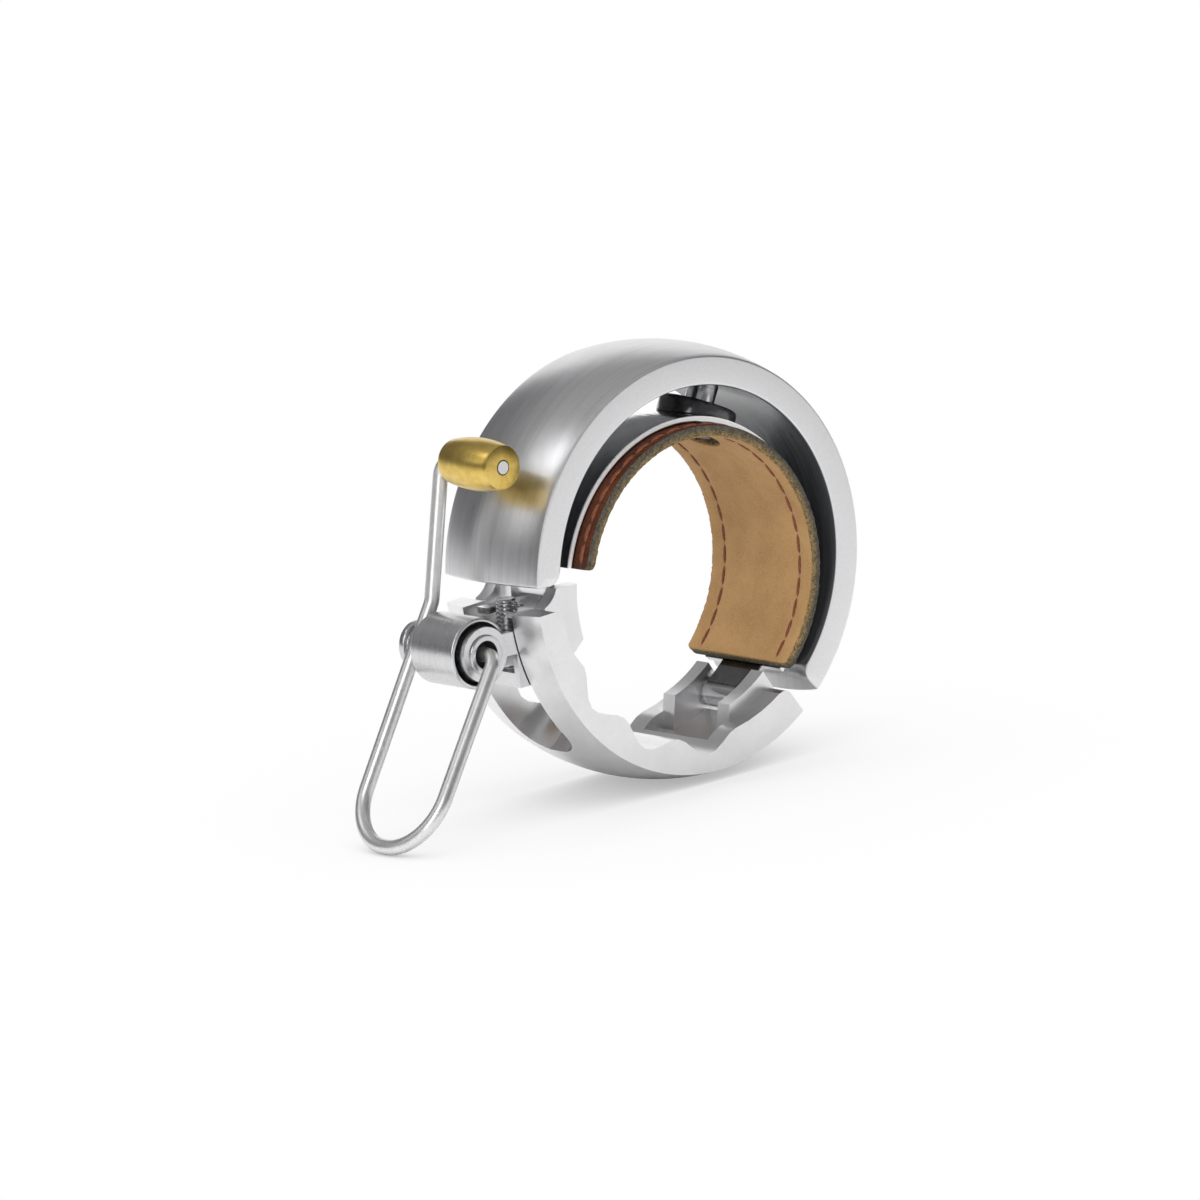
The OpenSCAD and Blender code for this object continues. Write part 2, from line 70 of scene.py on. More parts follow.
# Trigger, with lathed solids starting NEAR_AXIS
PIVOT = (-28.3671, -3.2979)
NEAR_AXIS = 0.001
BARREL_R, BARREL_BORE, BARREL_HOLE = 4.0, 3.55, 2.05
BARREL_FRONT, BARREL_FLOOR, BARREL_BACK = 3.1, -3.3, -4.2
RIVET_R, RIVET_BORE, RIVET_BORE_END, RIVET_NECK = 2.0, 1.55, -3.5, 1.1
RIVET_LIP, RIVET_LIP_BACK, RIVET_FRONT = 2.25, 4.12, 4.37
RIVET_HEAD_R, RIVET_HEAD_BACK, RIVET_HEAD_FRONT = 2.8, -7.95, -6.85
HAMMER_R, HAMMER_SWELL, HAMMER_LEN, HAMMER_FRONT = 2.95, 0.45, 8.4, 5.6
HAMMER_GAP, HAMMER_ANGLE = 1.7, 147.6
# Wire: where it passes the barrel and enters the rivet, seen from the pivot, and its bends
WIRE_R = 0.85
PASS_X, PASS_Y, ENTRY_FRONT = 0.4, 4.95, 5.9
LOOP_REACH, LOOP_FRONT, LOOP_SHARE = 14.2, 8.2, 0.46
HAMMER_BEND, PASS_BEND, ENTRY_BEND = 2, 3, 1.7
# Clamp screw
SCREW_X, SCREW_R, SCREW_ROOT, SCREW_PITCH = -21.57, 1.25, 0.98, 0.45
SCREW_TOP, HEX_TOP, HEX_HIGH = 1.3, -3.54, 2.6
HEX_ACROSS, KEY_ACROSS, KEY_DEEP = 4.0, 2.0, 1.4


def world(x, y, z):
    """A point of the front view in the shared frame, in metres."""
    return Vector((x, -z, y)) * MM


def polar(r, a, cy=0.0):
    return r * math.cos(math.radians(a)), cy + r * math.sin(math.radians(a))


def crown(z):
    """The chime's outer radius at depth z."""
    return RING_MAX - CROWN_BALL + math.sqrt(CROWN_BALL**2 - z * z)


HAMMER = polar(RING_MAX + HAMMER_GAP + HAMMER_R, HAMMER_ANGLE, RISE)


# Meshes


def add_object(name, bm, body, look, cad_nodes=(), angle=35, flat_area=None):
    """Makes an object of a bmesh; level faces of flat_area square millimetres and more stay flat."""
    bmesh.ops.recalc_face_normals(bm, faces=bm.faces)
    mesh = bpy.data.meshes.new(name)
    bm.to_mesh(mesh)
    bm.free()
    mesh.polygons.foreach_set("use_smooth", [True] * len(mesh.polygons))
    mesh.set_sharp_from_angle(angle=math.radians(angle))
    if flat_area:
        for p in mesh.polygons:
            p.use_smooth = p.area < flat_area * MM * MM or max(abs(v) for v in p.normal) < 0.999
    obj = bpy.data.objects.new(name, mesh)
    bpy.context.scene.collection.objects.link(obj)
    mesh.materials.append(look)
    even = obj.modifiers.new("even_normals", "WEIGHTED_NORMAL")
    even.mode, even.weight, even.keep_sharp = "FACE_AREA", 100, True
    if body:
        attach(obj, body)
    if cad_nodes:
        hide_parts(*cad_nodes)
    return obj


def outline(bm, points):
    """A closed loop of new vertices and edges."""
    verts = [bm.verts.new(p) for p in points]
    return verts, [bm.edges.new(pair) for pair in zip(verts, verts[1:] + verts[:1])]


def loft(bm, rings, closed=False):
    """Extrudes a loop of points from ring to ring, and fills both ends unless it closes on itself."""
    loop, first = outline(bm, rings[0])
    edges = first
    for ring in rings[1:] + (rings[:1] if closed else []):
        made = bmesh.ops.extrude_edge_only(bm, edges=edges)["geom"]
        fresh = {v for v in made if isinstance(v, bmesh.types.BMVert)}
        loop = [next(e.other_vert(v) for e in v.link_edges if e.other_vert(v) in fresh) for v in loop]
        for v, p in zip(loop, ring):
            v.co = p
        edges = [bm.edges.get(pair) for pair in zip(loop, loop[1:] + loop[:1])]
    if closed:
        bmesh.ops.remove_doubles(bm, verts=bm.verts, dist=1e-7)
    else:
        bmesh.ops.edgeloop_fill(bm, edges=first)
        bmesh.ops.edgeloop_fill(bm, edges=edges)


def lathe(bm, profile, centre, steps):
    """Spins (radius, z) points about an axis towards the front at centre."""
    verts, edges = outline(bm, [world(centre[0] + r, centre[1], z) for r, z in profile])
    bmesh.ops.spin(
        bm, geom=verts + edges, cent=world(*centre, 0), axis=(0, 1, 0), angle=2 * math.pi,
        steps=steps, use_merge=True,
    )


def corner(x, y, round_, start, count=4):
    """Arc points in place of a sharp corner at (x, y), a quarter turn from the angle start."""
    middle = math.radians(start + 45)
    cx = x - math.copysign(round_, math.cos(middle))
    cy = y - math.copysign(round_, math.sin(middle))
    turns = [math.radians(start + 90 * i / count) for i in range(count + 1)]
    return [(cx + round_ * math.cos(t), cy + round_ * math.sin(t)) for t in turns]


def stations(first, last, radius, ease, count, near):
    """Sweep stations from first to last: (angle, inset), with a small rounding at both ends."""
    turn = math.degrees(1 / radius)
    end = []
    for k in range(5):
        t = math.radians(22.5 * k)
        end.append((last - turn * ease * (1 - math.sin(t)), ease * (1 - math.cos(t))))
    start = [(first + last - a, inset) for a, inset in end[::-1]]
    even = [first + (last - first) * i / count for i in range(1, count)]
    low, high = start[-1][0], end[0][0]
    between = sorted(set(a for a in even + near if low + 0.02 < a < high - 0.02))
    return start + [(a, 0.0) for a in between] + end


def round_stations(first, last, radius, round_, step, count):
    """Angles near both ends at which a rounded corner needs a station, one for each step of its arc."""
    turn = math.degrees(1 / radius)
    ins = [turn * (round_ * (1 - math.cos(math.radians(step * k)))) for k in range(count)]
    return [first + a for a in ins] + [last - a for a in ins]


def round_drop(s, round_):
    """How far a rounded corner falls back at a distance s from the end."""
    if s >= round_:
        return 0.0
    return round_ - math.sqrt(max(0.0, round_**2 - (round_ - s) ** 2))


def soften(bm, width, angle=28):
    """Bevels every edge that turns by more than the angle."""
    bmesh.ops.recalc_face_normals(bm, faces=bm.faces)
    sharp = [e for e in bm.edges if len(e.link_faces) == 2 and e.calc_face_angle(0) > math.radians(angle)]
    bmesh.ops.bevel(
        bm, geom=sharp, offset=width * MM, offset_type="OFFSET", segments=3, profile=0.5, affect="EDGES",
        clamp_overlap=True, material=-1,
    )


def cad_copy(node):
    """The node's own mesh as a bmesh, merged, with flat areas joined up."""
    bm = bmesh.new()
    bm.from_mesh(nodes[node].data)
    bm.transform(nodes[node].matrix_world)
    bmesh.ops.remove_doubles(bm, verts=bm.verts, dist=2e-6)
    bmesh.ops.dissolve_limit(bm, angle_limit=math.radians(1.0), verts=bm.verts, edges=bm.edges)
    return bm


# Shader maths


class S:
    """A shader socket that adds its nodes as it is calculated with."""

    tree = None

    def __init__(self, socket):
        self.socket = socket

    @staticmethod
    def node(kind, inputs=(), out=0, stops=(), **settings):
        """Adds a node: its settings first, then the values or links of its sockets."""
        n = S.tree.nodes.new(kind)
        for key, value in settings.items():
            setattr(n, key, value)
        if stops:
            elements = n.color_ramp.elements
            elements[0].position, elements[0].color = stops[0]
            elements[1].position, elements[1].color = stops[-1]
            for at, colour in stops[1:-1]:
                elements.new(at).color = colour
        for key, value in dict(inputs).items():
            S.put(n.inputs[key], value)
        return S(n.outputs[out]) if len(n.outputs) else None

    @staticmethod
    def put(socket, value):
        if isinstance(value, S):
            S.tree.links.new(value.socket, socket)
        else:
            socket.default_value = value

    def math(self, op, *others):
        return S.node("ShaderNodeMath", enumerate((self,) + others), operation=op)

    def __add__(self, o):
        return self.math("ADD", o)

    def __sub__(self, o):
        return self.math("SUBTRACT", o)

    def __mul__(self, o):
        return self.math("MULTIPLY", o)

    def __rsub__(self, o):
        return S.node("ShaderNodeMath", {0: o, 1: self}, operation="SUBTRACT")

    __radd__, __rmul__ = __add__, __mul__

    def step(self, low, high):
        inputs = {"Value": self, "From Min": low, "From Max": high}
        return S.node("ShaderNodeMapRange", inputs, interpolation_type="SMOOTHSTEP")

    def span(self, low, high):
        return S.node("ShaderNodeMapRange", {"Value": self, "To Min": low, "To Max": high})

    def mix(self, a, b):
        return S.node("ShaderNodeMix", {0: self, 6: a, 7: b}, out=2, data_type="RGBA")

    def ramp(self, stops):
        return S.node("ShaderNodeValToRGB", {0: self}, stops=stops)


def vector(x, y, z):
    return S.node("ShaderNodeCombineXYZ", {0: x, 1: y, 2: z})


def split(at):
    return [S.node("ShaderNodeSeparateXYZ", {0: at}, out=i) for i in range(3)]


def place():
    """The three Object coordinates in millimetres, in the front view."""
    x, y, z = (v * 1000.0 for v in split(S.node("ShaderNodeTexCoord", out="Object")))
    return x, z, y * -1.0


def noise(at, scale, detail=3.0, rough=0.55):
    inputs = {"Vector": at, "Scale": scale, "Detail": detail, "Roughness": rough}
    return S.node("ShaderNodeTexNoise", inputs)


def rgb(r, g, b):
    return (r, g, b, 1.0)


def fill_tree(tree, output, build):
    """Empties a node tree, and links what build returns to a new output node."""
    S.tree = tree
    tree.nodes.clear()
    S.node(output, {0: build()})


def stage_material(name, build):
    m = bpy.data.materials.new(name)
    m.use_nodes = True
    fill_tree(m.node_tree, "ShaderNodeOutputMaterial", build)
    return m


def material(name, look):
    return stage_material(name, lambda: S.node("ShaderNodeBsdfPrincipled", look()))


def bump(height, strength, distance):
    return S.node("ShaderNodeBump", {"Height": height, "Strength": strength, "Distance": distance * MM})


def round_place(cx, cy):
    """Angle, radius and depth about an axis towards the front."""
    x, y, z = place()
    dx, dy = x - cx, y - cy
    return dy.math("ARCTAN2", dx), (dx * dx + dy * dy).math("SQRT"), z


def barrel_look():
    """Steel brushed round the barrel, with fine grooves of uneven depth."""
    a, r, z = round_place(*PIVOT)
    c, s = a.math("COSINE"), a.math("SINE")
    fine = noise(vector(c * 1.6, s * 1.6, (z + r * 0.7) * 24.0), 1.0, 4.0, 0.7)
    broad = noise(vector(c * 0.48, s * 0.48, (z + r * 0.7) * 1.4), 1.0, 2.0)
    cloudy = noise(vector(c * 0.8, s * 0.8, z * 0.25), 1.0, 3.0)
    tone = (fine * 0.65 + broad * 0.35).step(0.25, 0.75)
    return {
        "Base Color": tone.mix(rgb(0.5772, 0.5772, 0.585), rgb(0.74, 0.74, 0.75)),
        "Metallic": 1.0,
        "Roughness": fine.span(0.19, 0.37) + cloudy.span(-0.04, 0.04),
        "Normal": bump(fine * 0.8 + broad * 0.2, 0.55, 0.012),
    }


def satin(name, colour, rough, scale=9.0, depth=0.006, streak=(1.0, 1.0, 1.0), marks=14.0):
    """Steel with a fine even grain, faint smears and small scratches."""

    def build():
        x, y, z = place()
        at = vector(x * streak[0], y * streak[1], z * streak[2])
        grain = noise(at, scale, 5.0, 0.65)
        smear = noise(vector(x, y, z), 0.22, 3.0)
        scratch = noise(vector(x * 0.5, y * 0.5 + x * 0.3, z * marks), 1.0, 2.0).step(0.66, 0.72)
        dark = rgb(*(v * 0.86 for v in colour[:3]))
        return {
            "Base Color": (grain * 0.5 + smear * 0.5).step(0.3, 0.7).mix(dark, colour),
            "Metallic": 1.0,
            "Roughness": grain.span(rough - 0.05, rough + 0.05) + smear.span(-0.04, 0.04) + scratch * 0.05,
            "Normal": bump(grain + scratch * 0.3, 0.35, depth),
        }

    return material(name, build)


def brass_look():
    a, r, z = round_place(*HAMMER)
    c, s = a.math("COSINE"), a.math("SINE")
    fine = noise(vector(c * 1.5, s * 1.5, (z + r) * 22.0), 1.0, 4.0, 0.7)
    length = noise(vector(c * 26.0, s * 26.0, z * 0.8), 1.0, 3.0, 0.65)
    cloudy = noise(vector(c * 2.0, s * 2.0, z * 0.5), 1.0, 3.0)
    tone = (fine * 0.4 + cloudy * 0.6).step(0.3, 0.72)
    return {
        "Base Color": tone.mix(rgb(0.60, 0.40, 0.085), rgb(0.83, 0.62, 0.19)),
        "Metallic": 1.0,
        "Roughness": fine.span(0.22, 0.40),
        "Normal": bump(fine * 0.6 + length * 0.4, 0.45, 0.014),
    }


def leather_look():
    """Brown grain outside, tan suede inside and a dark fibrous edge between them."""
    x, y, z = place()
    r = (x * x + y * y).math("SQRT")
    fuzz = noise(vector(x, y, z), 2.6, 5.0, 0.7)
    shift = fuzz.span(-0.16, 0.16)
    outside = (r + shift * 0.4).step(PAD_OUT - 0.2, PAD_OUT - 0.1)
    inside = (r + shift).step(PAD_IN + 0.3, PAD_IN + 0.14)
    side = z.math("ABSOLUTE")
    rim = (side + shift * inside.span(0.5, 2.0)).step(PAD_HALF - 0.22, PAD_HALF - 0.06)
    cut = (rim + (1.0 - inside) * (1.0 - outside)).math("MINIMUM", 1.0)
    cells = {"Vector": vector(x, y, z), "Scale": 3.2, "Randomness": 1.0}
    pebble = S.node("ShaderNodeTexVoronoi", cells, feature="DISTANCE_TO_EDGE")
    crease = pebble.step(0.0, 0.18)
    patch = noise(vector(x, y, z), 0.3, 4.0)
    tone = (crease * 0.15 + patch * 0.85).step(0.2, 0.9)
    grain = tone.mix(rgb(0.052, 0.0125, 0.0048), rgb(0.125, 0.036, 0.014))
    nap = noise(vector(x * 3.0, y * 3.0, z * 1.4), 2.4, 6.0, 0.72)
    speck = noise(vector(x, y, z), 7.5, 3.0, 0.8)
    pale = (nap * 0.5 + patch * 0.3 + speck * 0.2).step(0.34, 0.66)
    suede = pale.mix(rgb(0.30, 0.170, 0.068), rgb(0.43, 0.262, 0.112))
    fibre = noise(vector(x * 2.0, y * 2.0, z * 2.0), 1.7, 6.0, 0.85)
    core = (r + shift).step(PAD_MID + 0.3, PAD_IN + 0.3)
    strand = core.mix(rgb(0.13, 0.115, 0.085), rgb(0.34, 0.235, 0.095))
    edge = fibre.step(0.34, 0.68).mix(rgb(0.030, 0.026, 0.018), strand)
    fleck = noise(vector(x, y, z), 4.2, 2.0).step(0.66, 0.74)
    suede = (fleck * 0.55).mix(suede, rgb(0.16, 0.08, 0.03))
    middle = inside.mix(edge, suede)
    skin = outside.mix(middle, grain)
    relief = crease * outside * 0.05 + patch * outside * 0.1 + nap * inside * 0.5 + fibre * cut * 1.4
    return {
        "Base Color": rim.mix(skin, edge),
        "Roughness": (outside * crease).span(0.88, 0.46),
        "Specular IOR Level": 0.35,
        "Normal": bump(relief, 0.75, 0.16),
    }


def thread_look():
    x, y, z = place()
    outer = (x * x + y * y).math("SQRT").step(PAD_MID - 0.2, PAD_MID + 0.2)
    a = y.math("ARCTAN2", x)
    twist = ((a * 19.0 + z * 3.0) * 7.0).math("SINE")
    tuft = noise(vector(x, y, z), 5.0, 4.0, 0.7)
    tone = (twist.span(0.3, 0.7) * 0.5 + tuft * 0.5).step(0.2, 0.7)
    # The outer stitches are painted paler, as painted light, and the inner ones darker, as painted shade
    # inside the ring.
    dark = outer.mix(rgb(0.07, 0.018, 0.007), rgb(0.11, 0.027, 0.0095))
    pale = outer.mix(rgb(0.25, 0.066, 0.022), rgb(0.32, 0.100, 0.037))
    return {
        "Base Color": tone.mix(dark, pale),
        "Roughness": tuft.span(0.6, 0.85),
        "Normal": bump(twist * 0.5 + tuft, 0.6, 0.06),
    }


def rubber_look():
    x, y, z = place()
    grain = noise(vector(x, y, z), 5.0, 5.0, 0.7)
    return {
        "Base Color": grain.step(0.3, 0.7).mix(rgb(0.012, 0.012, 0.013), rgb(0.04, 0.04, 0.042)),
        "Roughness": grain.span(0.55, 0.8),
        "Normal": bump(grain, 0.4, 0.03),
    }


def damper_look():
    x, y, z = place()
    grain = noise(vector(x, y, z), 4.0, 4.0, 0.6)
    cloudy = noise(vector(x, y, z), 0.6, 2.0)
    tone = (grain * 0.4 + cloudy * 0.6).step(0.3, 0.7)
    return {
        "Base Color": tone.mix(rgb(0.022, 0.022, 0.024), rgb(0.06, 0.06, 0.064)),
        "Roughness": grain.span(0.16, 0.30),
        "Coat Weight": 0.6,
        "Coat Roughness": 0.12,
        "Normal": bump(grain, 0.2, 0.01),
    }


def band_look():
    """Polished steel, with a painted highlight as a white line along both outer edges and painted shade as a
    dark underside.
    """
    a, r, z = round_place(0.0, 0.0)
    c, s = a.math("COSINE"), a.math("SINE")
    fine = noise(vector(c * 3.0, s * 3.0, (z + r) * 16.0), 1.0, 4.0, 0.65)
    smear = noise(vector(c * 5.0, s * 5.0, z * 0.3), 1.0, 3.0)
    # The underside is painted dark, as painted shade where the band lies on the leather.
    under = r.step(BAND_IN + 0.22, BAND_IN + 0.08)
    tone = (fine * 0.5 + smear * 0.5).step(0.3, 0.7)
    outer = tone.mix(rgb(0.76, 0.76, 0.77), rgb(0.88, 0.88, 0.89))
    inner = tone.mix(rgb(0.12, 0.12, 0.124), rgb(0.24, 0.24, 0.246))
    # The white line at both outer edges, with less metal and more roughness, is a painted highlight.
    side = z.math("ABSOLUTE").step(BAND_HALF - 0.25, BAND_HALF - 0.12)
    rim = side * r.step(BAND_IN + 0.2, BAND_IN + 0.3)
    rough = fine.span(0.08, 0.18) + smear.span(-0.03, 0.03)
    return {
        "Base Color": rim.mix(under.mix(outer, inner), rgb(0.95, 0.95, 0.95)),
        "Metallic": rim.span(1.0, 0.3),
        "Roughness": rough + rim * 0.35,
        "Normal": bump(fine, 0.3, 0.004),
    }


def chime_look():
    """Brushed crown, satin faces, and a polished inside painted near black as painted shade."""
    a, r, z = round_place(0.0, RISE)
    c, s = a.math("COSINE"), a.math("SINE")
    fine = noise(vector(c * 1.6, s * 1.6, (z + r * 0.7) * 26.0), 1.0, 4.0, 0.7)
    broad = noise(vector(c * 2.4, s * 2.4, (z + r * 0.7) * 1.4), 1.0, 2.0)
    cloudy = noise(vector(c * 4.0, s * 4.0, z * 0.25), 1.0, 3.0)
    grain = noise(vector(c * 90.0, s * 90.0, r * 4.0), 1.0, 4.0, 0.7)
    face = z.math("ABSOLUTE").step(CHIME_W / 2 - 0.2, CHIME_W / 2 - 0.08)
    inner_side = r.step(CHIME_IN + 0.22, CHIME_IN + 0.08)
    brush = (fine * 0.65 + broad * 0.35).step(0.25, 0.75).mix(rgb(0.60, 0.60, 0.61), rgb(0.79, 0.79, 0.80))
    plain = grain.step(0.2, 0.8).mix(rgb(0.86, 0.86, 0.87), rgb(0.95, 0.95, 0.96))
    # The inside is painted near black and made less metallic, as painted shade inside the ring.
    painted_inner_shade = (broad * 0.6 + fine * 0.4).step(0.3, 0.7).mix(rgb(0.065, 0.07, 0.078), rgb(0.115, 0.12, 0.128))
    rough = fine.span(0.22, 0.40) + cloudy.span(-0.04, 0.04)
    rough = rough + face * (grain.span(0.38, 0.48) - rough)
    rough = rough + inner_side * (fine.span(0.12, 0.22) - rough)
    relief = (fine * 0.8 + broad * 0.2) * (face + inner_side).span(1.0, 0.15) + grain * face * 0.25
    return {
        "Base Color": inner_side.mix(face.mix(brush, plain), painted_inner_shade),
        "Metallic": inner_side.span(1.0, 0.45),
        "Roughness": rough,
        "Normal": bump(relief, 0.55, 0.018),
    }


chime_steel = material("chime_brushed_steel", chime_look)
clamp_steel = satin(
    "clamp_satin_steel", rgb(0.90, 0.90, 0.91), 0.30, scale=8.0, depth=0.008, streak=(1.0, 1.0, 0.35)
)
band_steel = material("band_polished_steel", band_look)
post_steel = satin("post_polished_steel", rgb(0.80, 0.80, 0.81), 0.14, scale=5.0, depth=0.003)
bracket_steel = satin("bracket_satin_steel", rgb(0.74, 0.74, 0.75), 0.26, depth=0.007)
barrel_steel = material("barrel_brushed_steel", barrel_look)
wire_steel = satin(
    "wire_drawn_steel", rgb(0.86, 0.86, 0.86), 0.4, scale=4.0, depth=0.002, streak=(1.0, 0.25, 1.0), marks=1.0
)
pin_steel = satin("fastener_steel", rgb(0.66, 0.66, 0.67), 0.24, scale=10.0)
dark_steel = satin("blackened_steel", rgb(0.09, 0.09, 0.095), 0.34, scale=10.0)
brass = material("hammer_brass", brass_look)
leather = material("pad_leather", leather_look)
thread = material("stitch_thread", thread_look)
rubber = material("bush_rubber", rubber_look)
damper_rubber = material("damper_rubber", damper_look)


# Chime: crowned ring with eased edges and a rounded inner corner at each end


def crowned_loop(angle, inner, inset, edge=0.28, across=22):
    """The chime's section at an angle, pulled in by inset near its ends."""
    half = CHIME_W / 2
    loop = []
    for i in range(across + 1):
        z = (half - edge) * (2 * i / across - 1)
        loop.append((crown(z), z))
    drop = crown(half - edge)
    loop += [(drop - edge * 0.30, half - edge * 0.32), (drop - edge * 1.0, half)]
    loop += [(inner + edge, half), (inner + edge * 0.3, half - edge * 0.3)]
    for i in range(9):
        loop.append((inner, (half - edge) * (1 - i / 4)))
    loop += [(inner + edge * 0.3, -half + edge * 0.3), (inner + edge, -half)]
    loop += [(drop - edge * 1.0, -half), (drop - edge * 0.30, -half + edge * 0.32)]
    points = []
    for r, z in loop:
        if inset:
            r = min(max(r, inner + inset), RING_MAX - inset - (RING_MAX - crown(z)))
            z = min(max(z, -half + inset), half - inset)
        points.append(world(*polar(r, angle, RISE), z))
    return points


def build_chime():
    near = round_stations(CHIME_FROM, CHIME_TO, CHIME_IN, CHIME_END_ROUND, 11.25, 9)
    rings = []
    for a, inset in stations(CHIME_FROM, CHIME_TO, CHIME_R, 0.2, 190, near):
        s = math.radians(min(a - CHIME_FROM, CHIME_TO - a)) * CHIME_IN
        rings.append(crowned_loop(a, CHIME_IN + round_drop(s, CHIME_END_ROUND), inset))
    bm = bmesh.new()
    loft(bm, rings)
    add_object("chime_ring", bm, "ring", chime_steel, ["chime"])


build_chime()


# Leather pad: cut strip with rounded corners, a hole for the post screw and stitching on both faces


def pad_loop(half, edge=0.34, count=36):
    """(radius, z) points of the pad's section: outer face, front edge, inner face, back edge."""
    across = [(half - edge) * (2 * i / count - 1) for i in range(count + 1)]
    rim = [(PAD_OUT - 0.12, half - 0.10)]
    rim += [(PAD_MID + 0.3, half), (PAD_MID, half), (PAD_MID - 0.3, half)]
    rim += [(PAD_IN + 0.12, half - 0.10)]
    loop = [(PAD_OUT - 0.02, z) for z in across] + rim
    return loop + [(PAD_IN + 0.02, -z) for z in across] + [(r, -z) for r, z in rim[::-1]]


def build_pad():
    rnd = random.Random(5)
    near = round_stations(PAD_FROM, PAD_TO, PAD_MID, PAD_ROUND, 9, 10)
    rings = []
    for a, inset in stations(PAD_FROM, PAD_TO, PAD_MID, 0.25, 220, near):
        s = math.radians(min(a - PAD_FROM, PAD_TO - a)) * PAD_MID
        half = PAD_HALF - round_drop(s, PAD_ROUND)
        ring = []
        for r, z in pad_loop(half):
            fray = rnd.uniform(-PAD_FRAY, PAD_FRAY) if abs(z) > half - 0.2 else 0.0
            row = STITCH_IN if r < PAD_MID else STITCH_OUT
            sink = STITCH_SINK * math.exp(-(((abs(z) - row) / STITCH_WIDE) ** 2))
            r += sink if r < PAD_IN + 0.3 else (-sink if r > PAD_OUT - 0.3 else 0.0)
            if inset:
                r = min(max(r, PAD_IN + inset), PAD_OUT - inset)
            ring.append(world(*polar(r, a), z + fray))
        rings.append(ring)
    bm = bmesh.new()
    loft(bm, rings)
    pad = add_object("leather_pad_cut", bm, "ring", leather, ["leather_pad"], 50)
    middle = world(*polar(PAD_MID, POST_ANGLE), 0)
    cutter = bmesh.new()
    bmesh.ops.create_cone(
        cutter, cap_ends=True, segments=48, radius1=PAD_HOLE_R * MM, radius2=PAD_HOLE_R * MM, depth=6 * MM,
        matrix=Matrix.Translation(middle) @ middle.to_track_quat("Z", "Y").to_matrix().to_4x4(),
    )
    cut_away(pad, cutter)
    return pad


def cut_away(obj, cutter_bm):
    """Takes the cutter's shape out of the object's mesh."""
    mesh = bpy.data.meshes.new("cutter")
    cutter_bm.to_mesh(mesh)
    cutter_bm.free()
    cutter = bpy.data.objects.new("cutter", mesh)
    bpy.context.scene.collection.objects.link(cutter)
    cut = obj.modifiers.new("cut", "BOOLEAN")
    cut.operation, cut.solver, cut.object = "DIFFERENCE", "EXACT", cutter
    depsgraph = bpy.context.evaluated_depsgraph_get()
    done = bpy.data.meshes.new_from_object(obj.evaluated_get(depsgraph))
    obj.modifiers.clear()
    old, obj.data = obj.data, done
    name = old.name
    bpy.data.meshes.remove(old)
    done.name = name
    bpy.data.objects.remove(cutter)
    bpy.data.meshes.remove(mesh)


def stitch_rings(face_r, sign, mid, z0, slant, length, thick, dip):
    """Rings of one stitch, which dips into the leather at both ends."""
    rings = []
    for i in range(7):
        u = i / 3 - 1
        a = mid + math.degrees(u * length / 2 / PAD_MID)
        fat = thick * math.sqrt(max(0.03, 1 - 0.9 * u**4))
        r0 = face_r + sign * (dip * abs(u) ** 3)
        ring = []
        for t in range(8):
            b = 2 * math.pi * t / 8
            r = r0 + fat * 0.62 * math.cos(b)
            ring.append(world(*polar(max(r, PAD_IN - 0.03), a), z0 + slant * u + fat * math.sin(b)))
        rings.append(ring)
    return rings


def build_stitches():
    rnd = random.Random(11)
    first, sweep = PAD_FROM + 2, PAD_TO - PAD_FROM - 4
    bm = bmesh.new()
    for face_r, sign, row, pitch, length, thick, dip in (
        (PAD_IN + 0.11, 1, STITCH_IN, 2.5, 2.36, 0.21, 0.10),
        (PAD_OUT - 0.06, -1, STITCH_OUT, 2.3, 2.1, 0.27, 0.14),
    ):
        count = int(math.radians(sweep) * PAD_MID / pitch)
        for z0 in (-row, row):
            for k in range(count):
                mid = first + (k + 0.5) * sweep / count
                slant = rnd.uniform(-0.06, 0.06)
                loft(bm, stitch_rings(face_r, sign, mid, z0, slant, length, thick, dip))
    return add_object("leather_stitches", bm, "ring", thread)


pad = build_pad()
stitches = build_stitches()


# Damper: turned about the post, with a soft upper edge and an underside that fits the band


def build_damper():
    turn = Matrix.Rotation(math.radians(POST_ANGLE), 4, "Z") @ Matrix.Rotation(math.radians(90), 4, "Y")
    top = BAND_OUT + DAMPER_T
    # (radius, height) points: heights under 1 are counted from the band, the others from the bar's axis
    loop = [(DAMPER_BORE, 0.0), (DAMPER_R - 0.15, 0.0), (DAMPER_R - 0.04, 0.04), (DAMPER_R, 0.15)]
    loop += corner(DAMPER_R, top, 0.55, 0, 6) + [(DAMPER_BORE + 0.2, top), (DAMPER_BORE, top - 0.2)]
    rings = []
    for k in range(96):
        b = 2 * math.pi * k / 96
        ring = []
        for r, h in loop:
            u = r * math.sin(b)
            seat = math.sqrt((BAND_OUT + SEAT) ** 2 - u * u)
            ring.append(world(*(turn @ Vector((r * math.cos(b), u, seat + h if h < 1 else h)))))
        rings.append(ring)
    bm = bmesh.new()
    loft(bm, rings, closed=True)
    add_object("damper_turned", bm, "ring", damper_rubber, ["damper"])


build_damper()


# Pieces copied from the solids, with eased edges


for node, body, width, look in (
    ("clamp", "clamp", 0.16, clamp_steel),
    ("band", "ring", 0.2, band_steel),
    ("trigger_bracket", "clamp", 0.12, bracket_steel),
):
    bm = cad_copy(node)
    soften(bm, width)
    add_object(node + "_eased", bm, body, look, [node], 40, 1.5)

for node, look in (
    ("chime_post", post_steel), ("post_screw", dark_steel), ("hinge_pin", pin_steel),
    ("hinge_washers", pin_steel), ("bracket_pin", pin_steel), ("pivot_washer", pin_steel),
    ("wire_bush", rubber), ("torsion_spring", pin_steel), ("screw_washer", pin_steel),
):
    nodes[node].data.materials.clear()
    nodes[node].data.materials.append(look)


